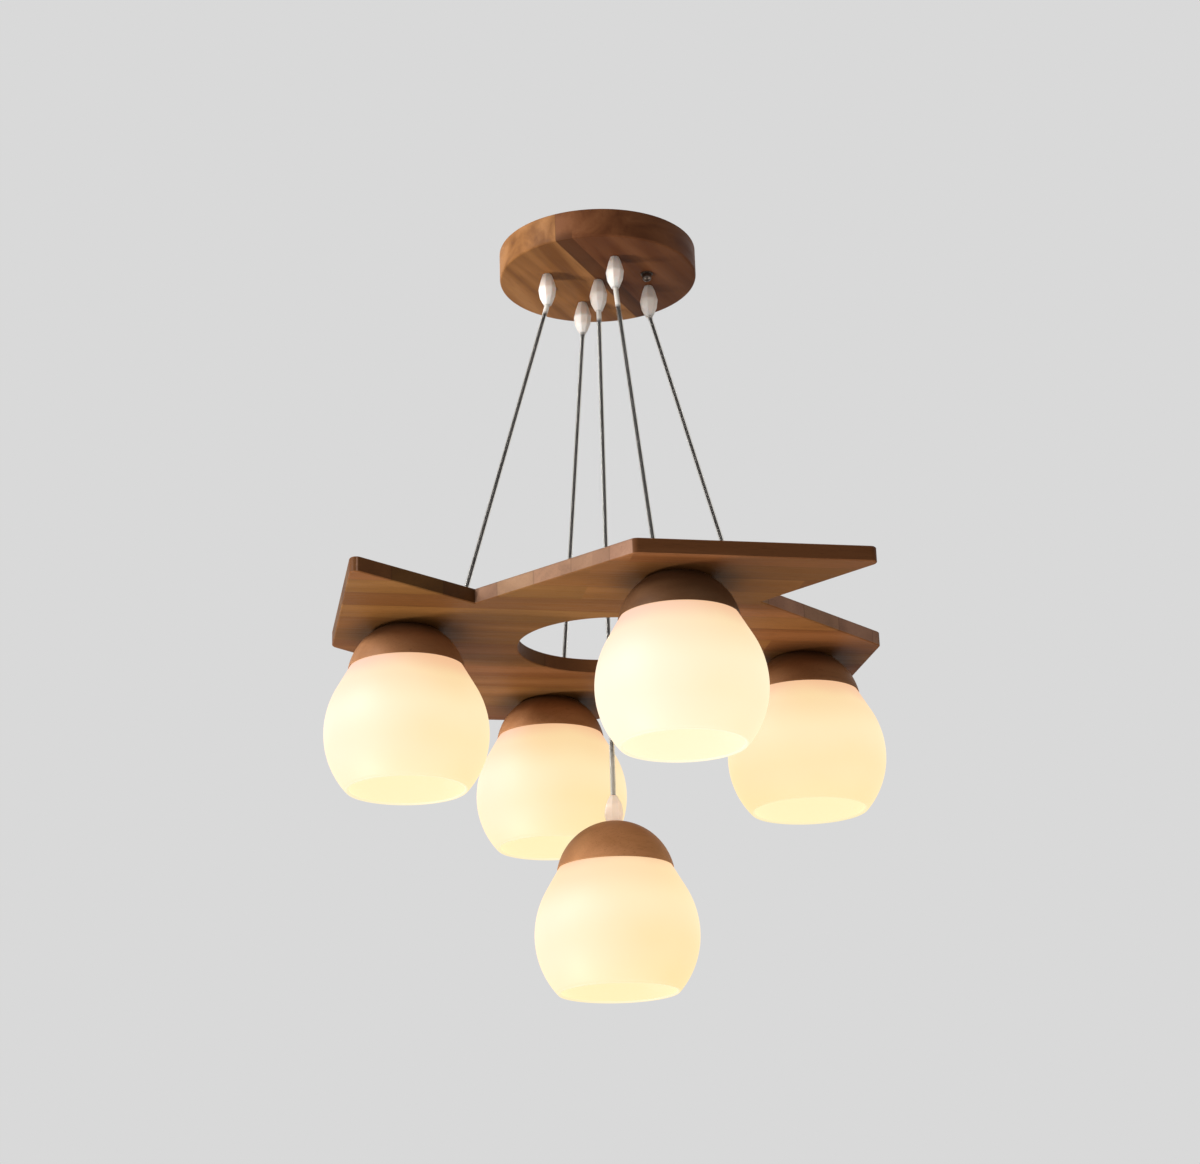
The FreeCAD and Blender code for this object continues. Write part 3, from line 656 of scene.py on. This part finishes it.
# Painted light and shade on the board's edges: the edges between two fins lie at these distances
# from the middle and are painted lighter, as if lit, with less colour; the other edges are painted
# darker, as if shaded.
painted_lit_edges_from = 0.15
painted_lit_edges_to = 0.21
painted_edge_light = 0.44
painted_edge_light_strength = 0.76
painted_edge_shade = 0.38
upright_below = 0.3
seam_gap = 2e-6


def kept(tree, name):
    """A number that the mesh keeps under a name."""
    return add(tree, "ShaderNodeAttribute", attribute_name=name).outputs["Fac"]


def board_staves(tree, axes):
    """Layout of the board: rows of staves of one width, each of pieces of one length that start
    at random places. Every piece has its own tone, hue and place in the grain. Painted shade
    darkens the underside round the cups, where shade falls in the corner. An edge is painted
    lighter or darker by the number that paint_edge_light_and_shade keeps on it, and a lighter
    one has less colour."""
    rows = maths(tree, maths(tree, axes["Y"], stave_line), stave_width, "DIVIDE")
    row = maths(tree, maths(tree, rows, 0.0, "FLOOR"), stave_seed)
    first = add(tree, "ShaderNodeTexWhiteNoise", {"W": row}, noise_dimensions="1D").outputs["Value"]
    along = maths(tree, maths(tree, axes["X"], stave_length, "DIVIDE"), first)
    stave = {"X": row, "Y": maths(tree, along, 0.0, "FLOOR")}
    cell = {"Vector": add(tree, "ShaderNodeCombineXYZ", stave).outputs[0]}
    chance = add(tree, "ShaderNodeTexWhiteNoise", cell, noise_dimensions="2D").outputs["Color"]
    parts = add(tree, "ShaderNodeSeparateColor", {0: chance}).outputs
    hue = mapped(tree, parts[1], (0, 1), stave_hues)
    shift = maths(tree, parts[2], grain_shift, "MULTIPLY")
    off_middle = maths(tree, maths(tree, rows, 0.0, "FRACT"), 0.5, "SUBTRACT")
    off_edge = maths(tree, 0.5, maths(tree, off_middle, 0.0, "ABSOLUTE"), "SUBTRACT")
    joint = maths(tree, off_edge, stave_width, "MULTIPLY")

    # Painted shade: the underside darkens near the cups.
    spot = add(tree, "ShaderNodeCombineXYZ", {"X": axes["X"], "Y": axes["Y"]}).outputs[0]
    nearest = 1.0
    for n in numbers:
        ends = {0: spot, 1: (*middle_of("cup_%d" % n), 0)}
        away = add(tree, "ShaderNodeVectorMath", ends, operation="DISTANCE").outputs["Value"]
        nearest = maths(tree, away, nearest, "MINIMUM")
    corner_shade = mapped(tree, nearest, painted_shade_reach, (painted_shade_depth, 0), "SMOOTHSTEP")
    fading = (board_low.z + painted_shade_height, board_low.z + painted_shade_full)
    near_face = mapped(tree, axes["Z"], fading, (0, 1))
    unshaded = maths(tree, 1.0, maths(tree, corner_shade, near_face, "MULTIPLY"), "SUBTRACT")
    tone = maths(tree, mapped(tree, parts[0], (0, 1), stave_tones), unshaded, "MULTIPLY")
    # Painted light and shade on the edges, as the mesh keeps it.
    painted_edge_tone = kept(tree, "painted_edge_tone")
    tone = maths(tree, tone, maths(tree, 1.0, painted_edge_tone), "MULTIPLY")
    strength = mapped(tree, painted_edge_tone, (0, painted_edge_light), (1.0, painted_edge_light_strength))
    return tone, hue, strength, shift, joint


def smooth_copy(name, node, sharp=30):
    """Copy of a node's solid with its triangles joined, so that its round faces shade smoothly."""
    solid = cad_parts[node].data
    places = np.empty(3 * len(solid.vertices))
    solid.vertices.foreach_get("co", places)
    corners = np.empty(len(solid.loops), dtype=int)
    solid.loops.foreach_get("vertex_index", corners)
    return welded(name, places, corners.reshape(-1, 3), seam_gap, sharp, outwards=False)


def paint_edge_light_and_shade(piece):
    """Keeps on each face how much its wood is painted lighter or darker. A face stands upright
    where its normal n hardly rises, and lies at the distance d = n . p from the upright middle
    line, which tells the board's edges apart: the ones between two fins get painted light, as
    if lit, and the other edges and the hole get painted shade, as if shaded."""
    count = len(piece.data.polygons)
    normal = np.empty(3 * count)
    piece.data.polygons.foreach_get("normal", normal)
    centre = np.empty(3 * count)
    piece.data.polygons.foreach_get("center", centre)
    normal, centre = normal.reshape(-1, 3), centre.reshape(-1, 3)
    distance = (normal[:, :2] * centre[:, :2]).sum(axis=1)
    upright = np.abs(normal[:, 2]) < upright_below
    painted_lit_edge = (distance > painted_lit_edges_from) & (distance < painted_lit_edges_to)
    painted_edge_tone = np.where(upright, np.where(painted_lit_edge, painted_edge_light, -painted_edge_shade), 0.0)
    piece.data.attributes.new("painted_edge_tone", "FLOAT", "FACE").data.foreach_set("value", painted_edge_tone)


board_wood = oiled_wood("board_oiled_wood", 0.0, board_tones, board_staves, figure=0.7)
pinwheel = smooth_copy("pinwheel_board", "board", 40)
paint_edge_light_and_shade(pinwheel)
settle(pinwheel, board_wood, "board", "board_wood", "board")
slips = smooth_copy("wiring_slips", "wiring_covers")
settle(slips, board_wood, "board", "board_wood", "wiring_covers")

# The wooden cups: turned balls cut off flat. Four are screwed up under the board, and the lone
# lamp's is a full dome with a seat for its grip. Each rim hugs the shoulder of its glass.
owners = [str(n) for n in numbers] + ["pendant"]
cup_low, cup_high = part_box("cup_1")
cup_height = cup_high.z - cup_low.z
ball_radius = 0.0544
ball_drop = 0.0105
rim_radius = 0.0534
lip_radius = 0.0530
lip_height = 0.008
inner_radius = 0.0507
cup_floor = 0.031
cup_bore = 0.0051
seat_radius = 0.0076
seat_floor = 0.0354
cup_tones = ((0.25, 0.112, 0.048), (0.34, 0.162, 0.074), (0.43, 0.218, 0.105))
cup_heading = 20.0
# Painted light and shade on the cups: each cup is made darker or lighter as a whole by its own
# number, as it is shaded or lit, and the tops of the four under the board are painted darker still,
# with painted shade where they meet it.
cup_painted_light_and_shade = {"1": 0.12, "2": 0.66, "3": 0.2, "4": -0.15, "pendant": -0.45}
cup_top_painted_shade = 0.68


def one_block(tree, axes):
    """Layout of a cup: it is turned from one block, with no joint, and is made darker at each point
    by the painted light and shade that its mesh keeps there, or lighter where that number is below
    0."""
    tone = maths(tree, 1.0, kept(tree, "painted_shading"), "SUBTRACT")
    return tone, even_hue, 1.0, 0.0, 1.0


def ball_side(radius, low, high, steps):
    """Points (r, z) from low to high on a ball whose middle lies ball_drop under the rim:
    r = sqrt(R^2 - (z + drop)^2)."""
    z = np.linspace(low, high, steps)
    return np.stack([np.sqrt(radius**2 - (z + ball_drop) ** 2), z], axis=-1)


def cup_outline(crowned):
    """Closed outline of a cup, its rim plane at z = 0, round inside and out, with its corners
    broken by 0.2 to 1 mm. A crowned cup runs up to its seat, and the other stops flat."""
    top = cup_height
    if crowned:
        top = math.sqrt(ball_radius**2 - seat_radius**2) - ball_drop
    inside = ball_side(inner_radius, lip_height, cup_floor - 0.0008, 16)[::-1]
    outside = ball_side(ball_radius, 0.0006, top - 0.0002, 40 if crowned else 24)
    rim = [(lip_radius - 0.0003, 0.0005), (lip_radius, 0), (rim_radius - 0.0002, 0)]
    if crowned:
        ends = [(seat_radius, top - 0.0005), (seat_radius, seat_floor), (cup_bore, seat_floor)]
    else:
        ends = [(outside[-1, 0] - 0.0004, top), (cup_bore, top)]
    start = [(cup_bore, cup_floor), (inside[0, 0] - 0.001, cup_floor)]
    return np.concatenate([start, inside, rim, outside, ends])


def node_name(piece, owner):
    """Name of a lamp's node: cup_1 or pendant_cup."""
    return "pendant_" + piece if owner == "pendant" else piece + "_" + owner


cup_wood = oiled_wood("cup_oiled_wood", cup_heading, cup_tones, one_block, figure=0.8)
lamps = []
for owner in owners:
    centre = middle_of(node_name("glass_shade", owner))
    rim_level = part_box(node_name("cup", owner))[0].z
    lamps.append((owner, centre, rim_level, "lamp" if owner == "pendant" else "board"))
for owner, centre, rim_level, body in lamps:
    outline = cup_outline(owner == "pendant")
    # Painted light and shade: each cup's own number, and for a cup under the board painted shade
    # that grows towards the board.
    painted_shading = cup_painted_light_and_shade[owner]
    if owner != "pendant":
        share = np.clip(outline[:, 1:] / cup_height * 2 - 1, 0, 1)
        painted_shading = painted_shading + (cup_top_painted_shade - painted_shading) * share
    cup = turned(
        "wooden_cup_" + owner,
        outline + (0, rim_level),
        centre,
        closed=True,
        steps=144,
        values={"painted_shading": painted_shading},
    )
    settle(cup, cup_wood, body, "cup_wood", node_name("cup", owner))

# The glass shades: blown opal globes, white in the glass and glowing warm from the bulb inside,
# cut off level below with a fire-polished lip.
glass_radius = 0.075
upper_curve = 0.082
lower_curve = 0.078
shoulder_slope = math.radians(30)
crown_curve = 0.026
neck_height = 0.074
neck_hole = 0.021
glass_wall = 0.003
glass_cut = -0.0525
lip_round = 0.0015
lip_turn = 0.2
lip_steps = 7
glass_level = 0.061
glow_drift = 0.16
glow_reach = {"1": 1.04, "2": 1.04, "3": 1.05, "4": 1.0, "pendant": 0.92}
glow_whiter = {"1": 0.07, "2": 0.30, "3": 0.05, "4": 0.0, "pendant": 0.0}


def curve(centre, level, radius, start, end, steps):
    """Points on a circle between two angles: (centre + R cos a, level + R sin a)."""
    a = np.linspace(start, end, steps)
    return np.stack([centre + radius * np.cos(a), level + radius * np.sin(a)], axis=-1)


def glass_side(wall):
    """One side of the glass a wall's thickness inside its outer face, from neck to lip: a crown
    arc, a straight shoulder, the upper belly arc and the lower one."""
    upper_centre = glass_radius - upper_curve
    lower_centre = glass_radius - lower_curve
    crown_level = neck_height - crown_curve
    shoulder_radius = upper_centre + upper_curve * math.cos(shoulder_slope)
    shoulder_height = upper_curve * math.sin(shoulder_slope)
    rise = crown_level + crown_curve * math.sin(shoulder_slope) - shoulder_height
    crown_centre = shoulder_radius - rise * math.tan(shoulder_slope)
    crown_centre -= crown_curve * math.cos(shoulder_slope)
    low_angle = math.asin((glass_cut + lip_round) / (lower_curve - wall))
    crown = curve(crown_centre, crown_level, crown_curve - wall, math.pi / 2, shoulder_slope, 12)
    upper = curve(upper_centre, 0, upper_curve - wall, shoulder_slope, 0, 22)
    lower = curve(lower_centre, 0, lower_curve - wall, 0, low_angle, 30)
    return np.concatenate([crown, upper, lower[1:]])


def glass_outline():
    """Closed outline of the glass, widest at z = 0, and for each of its points a number that is
    0 on the outer face and 1 on the inner one."""
    outer = glass_side(0)
    inner = glass_side(glass_wall)[::-1]
    middle_radius = (outer[-1, 0] + inner[0, 0]) / 2
    lip_level = glass_cut + lip_round
    rounded = curve(middle_radius, lip_level, lip_round, -lip_turn, lip_turn - math.pi, lip_steps)
    neck = [(neck_hole, neck_height - glass_wall), (neck_hole, neck_height)]
    outline = np.concatenate([outer, rounded, inner, neck])
    crossing = np.linspace(0, 1, lip_steps)
    inside = np.concatenate([np.zeros(len(outer)), crossing, np.ones(len(inner) + len(neck))])
    return outline, inside


def opal_glass():
    """Opal glass lit from within. Its glow follows the height that the mesh keeps: palest round
    the bulb, warmer and dimmer up by the cup. It is yellow inside, and whiter where the mesh
    says so. Its satin skin adds only a little of the light that falls on it."""
    material, tree, shader = fresh_finish("opal_glass")
    cloud = noise(tree, object_place(tree), scale=14.0, detail=2.0)
    drift = maths(tree, maths(tree, cloud, 0.5, "SUBTRACT"), glow_drift, "MULTIPLY")
    outside = ramped(
        tree,
        maths(tree, kept(tree, "height"), drift),
        "EASE",
        (0.0, (0.92, 0.72, 0.30)),
        (0.22, (0.94, 0.72, 0.33)),
        (0.5, (0.96, 0.77, 0.42)),
        (0.75, (0.94, 0.69, 0.36)),
        (0.93, (0.88, 0.52, 0.28)),
    )
    glow = blended(tree, kept(tree, "inside"), outside, (0.88, 0.78, 0.40))
    glow = blended(tree, kept(tree, "whiter"), glow, (1.0, 1.0, 0.80))
    tree.links.new(glow, shader.inputs["Emission Color"])
    shader.inputs["Emission Strength"].default_value = 1.0
    skin_tone = blended(tree, cloud, (0.09, 0.085, 0.15), (0.11, 0.105, 0.17))
    tree.links.new(skin_tone, shader.inputs["Base Color"])
    shader.inputs["Roughness"].default_value = 0.55
    shader.inputs["Specular IOR Level"].default_value = 0.3
    return material


opal = opal_glass()
shade_outline, shade_inside = glass_outline()
shade_height = (shade_outline[:, 1:] - glass_cut) / (neck_height - glass_cut)
for owner, centre, rim_level, body in lamps:
    shade = turned(
        "opal_globe_" + owner,
        shade_outline + (0, rim_level - glass_level),
        centre,
        closed=True,
        steps=160,
        values={
            "height": shade_height * glow_reach[owner],
            "inside": shade_inside[:, None],
            "whiter": glow_whiter[owner] * (1 - shade_height**2),
        },
    )
    settle(shade, opal, body, "opal_glass", node_name("glass_shade", owner))

# The lampholders: white moulded screw holders, each with a flange over the glass and a ring that
# clamps the glass from below, a brass sleeve inside, and a frosted golf-ball bulb.
holder_radius = 0.0195
holder_slope = 0.003
holder_flange = 0.026
flange_thickness = 0.003
holder_mouth = -0.012
holder_bore = 0.0146
holder_bore_top = 0.015
holder_seat = neck_height - glass_level
holder_thread_depth = 0.006
holder_ease = 0.0005
wire_hole = 0.003
ring_top = holder_seat - glass_wall
ring_radius = 0.0265
ring_plate = 0.0025
ring_height = 0.008
ring_upper = 0.023
ring_lower = 0.0226
ring_gap = 0.00005
ring_ease = 0.0004
thread_pitch = 0.0036
sleeve_wall = 0.0006
sleeve_gap = 0.00002
sleeve_setback = 0.003
sleeve_thread = 0.0003
contact_level = holder_bore_top - 0.001
contact_radius = 0.005
insulator_radius = 0.0095
insulator_height = 0.004
cap_radius = 0.0132
cap_length = 0.026
cap_shoulder = 0.006
cap_thread = 0.0004
bulb_radius = 0.0225
bulb_length = 0.072
bulb_waist = 0.008
neck_overlap = 0.001
neck_inset = 0.0008
collar_inset = 0.0004
collar_drop = 0.0005


def white_moulding():
    """White heat-proof plastic with a fine grain from its mould."""
    material, tree, shader = fresh_finish("white_moulding")
    fine = noise(tree, object_place(tree), scale=1100.0, detail=3.0)
    tone = blended(tree, fine, (0.70, 0.68, 0.62), (0.80, 0.78, 0.73))
    tree.links.new(tone, shader.inputs["Base Color"])
    give_relief(tree, shader, fine, strength=0.15, depth=0.0001)
    shader.inputs["Roughness"].default_value = 0.45
    return material


def lit_bulb():
    """Frosted bulb that is switched on, a little uneven in its glow."""
    material, tree, shader = fresh_finish("lit_bulb")
    cloud = noise(tree, object_place(tree), scale=40.0, detail=2.0)
    glow = blended(tree, cloud, (1.0, 0.82, 0.52), (1.0, 0.92, 0.68))
    tree.links.new(glow, shader.inputs["Emission Color"])
    shader.inputs["Emission Strength"].default_value = 3.0
    shader.inputs["Base Color"].default_value = (0.9, 0.88, 0.84, 1)
    shader.inputs["Roughness"].default_value = 0.3
    return material


def holder_outline():
    """Closed outline of a lampholder, the cup's rim plane at z = 0."""
    ledge = holder_seat + flange_thickness
    thread_end = cup_floor - holder_thread_depth
    corners = [
        (tube_bore, cup_floor),
        (holder_radius - holder_slope, cup_floor),
        (holder_radius, cup_floor - holder_slope),
        (holder_radius, ledge),
        (holder_flange, ledge),
        (holder_flange, holder_seat),
        (holder_radius, holder_seat),
        (holder_radius, holder_mouth),
        (holder_bore, holder_mouth),
        (holder_bore, holder_bore_top),
        (wire_hole, holder_bore_top),
        (wire_hole, thread_end),
        (tube_bore, thread_end),
    ]
    return eased(corners, holder_ease, 4)


def ring_outline():
    """Closed outline of the ring that clamps the glass: a thin plate on a tapering collar."""
    corners = [
        (holder_radius + ring_gap, ring_top),
        (ring_radius, ring_top),
        (ring_radius, ring_top - ring_plate),
        (ring_upper, ring_top - ring_plate),
        (ring_lower, ring_top - ring_height),
        (holder_radius + ring_gap, ring_top - ring_height),
    ]
    return eased(corners, ring_ease, 4)


def rolled_thread(radius, depth, start, end):
    """Points (r, z) down a rolled thread, whose radius swings between its two limits:
    r = R - depth sin^2(pi z / pitch), with z from the start."""
    z = np.linspace(start, end, 60)
    return np.stack([radius - depth * np.sin(np.pi * (z - start) / thread_pitch) ** 2, z], axis=-1)


def sleeve_outline():
    """Closed outline of the brass sleeve: smooth outside, with a rolled thread inside."""
    foot = holder_mouth + sleeve_setback
    inner = rolled_thread(holder_bore - sleeve_wall, sleeve_thread, foot, holder_bore_top)
    outer = inner.copy()
    outer[:, 0] = holder_bore - sleeve_gap
    return np.concatenate([outer, inner[::-1]])


def bulb_outline():
    """Outline of the bulb's glass: a neck that starts inside the cap, and a globe from its waist
    to its tip."""
    collar = contact_level - cap_length
    waist = math.asin(bulb_waist / bulb_radius)
    globe_level = contact_level - bulb_length + bulb_radius
    globe = curve(0, globe_level, bulb_radius, waist, -math.pi / 2, 40)
    globe[-1, 0] = 0
    neck = [
        (0, collar + neck_overlap),
        (cap_radius - neck_inset, collar + neck_overlap),
        (cap_radius - collar_inset, collar - collar_drop),
    ]
    return np.concatenate([neck, globe])


def cap_outline():
    """Outline of the bulb's screw cap: contact, insulator cone and rolled thread."""
    top = [
        (0, contact_level),
        (contact_radius, contact_level),
        (insulator_radius, contact_level - insulator_height),
    ]
    collar = contact_level - cap_length
    shell = rolled_thread(cap_radius, cap_thread, contact_level - cap_shoulder, collar)
    return np.concatenate([top, shell, [(0, collar)]])


moulding = white_moulding()
bulb_frost = lit_bulb()
sleeve_brass = brushed_metal("sleeve_brass", (0.62, 0.43, 0.17), 0.3)
cap_metal = brushed_metal("bulb_cap_metal", (0.62, 0.62, 0.63), 0.3)
lamp_parts = (
    ("lampholder_body_", holder_outline(), True, 72, moulding, "holder_plastic", "lampholder"),
    ("clamping_ring_", ring_outline(), True, 72, moulding, "holder_plastic", "shade_ring"),
    ("screw_sleeve_", sleeve_outline(), True, 64, sleeve_brass, "sleeve_brass", "socket_sleeve"),
    ("bulb_globe_", bulb_outline(), False, 72, bulb_frost, "bulb_glass", "bulb"),
    ("bulb_cap_", cap_outline(), False, 64, cap_metal, "zinc_steel", None),
)
for owner, centre, rim_level, body in lamps:
    for title, outline, closed, steps, finish, slot, node in lamp_parts:
        part = turned(title + owner, outline + (0, rim_level), centre, closed, steps)
        settle(part, finish, body, slot, *([node_name(node, owner)] if node else []))

# The hardware out of sight: the ceiling strap with its studs, the nuts and hollow threaded
# tubes, zinc plated, the terminal block, and the bared wires that lead to it and to the lamps.
zinc = brushed_metal("zinc_plate", (0.58, 0.59, 0.60), 0.35)
for node, body in (
    ("ceiling_bracket", "root"),
    ("rose_studs", "root"),
    ("board_nipples", "board"),
    ("nipple_nuts", "board"),
    ("pendant_nipple", "lamp"),
):
    piece = smooth_copy(node + "_zinc", node)
    settle(piece, zinc, body, "zinc_steel", node)
piece = smooth_copy("spigot_nuts", "grip_nuts")
settle(piece, grip_cream, "root", "grip_plastic", "grip_nuts")
piece = smooth_copy("terminal_strip", "terminal_block")
settle(piece, moulding, "root", "terminal_plastic", "terminal_block")
end_jacket = clear_jacket("clear_jacket_ends", 0.0)
for node, body in (
    ("cord_tops", "root"),
    ("board_wiring", "board"),
    ("centre_cord_bend", "cord_bend"),
    ("pendant_cord_end", "lamp"),
):
    piece = smooth_copy(node + "_sheath", node)
    settle(piece, end_jacket, body, "cord", node)
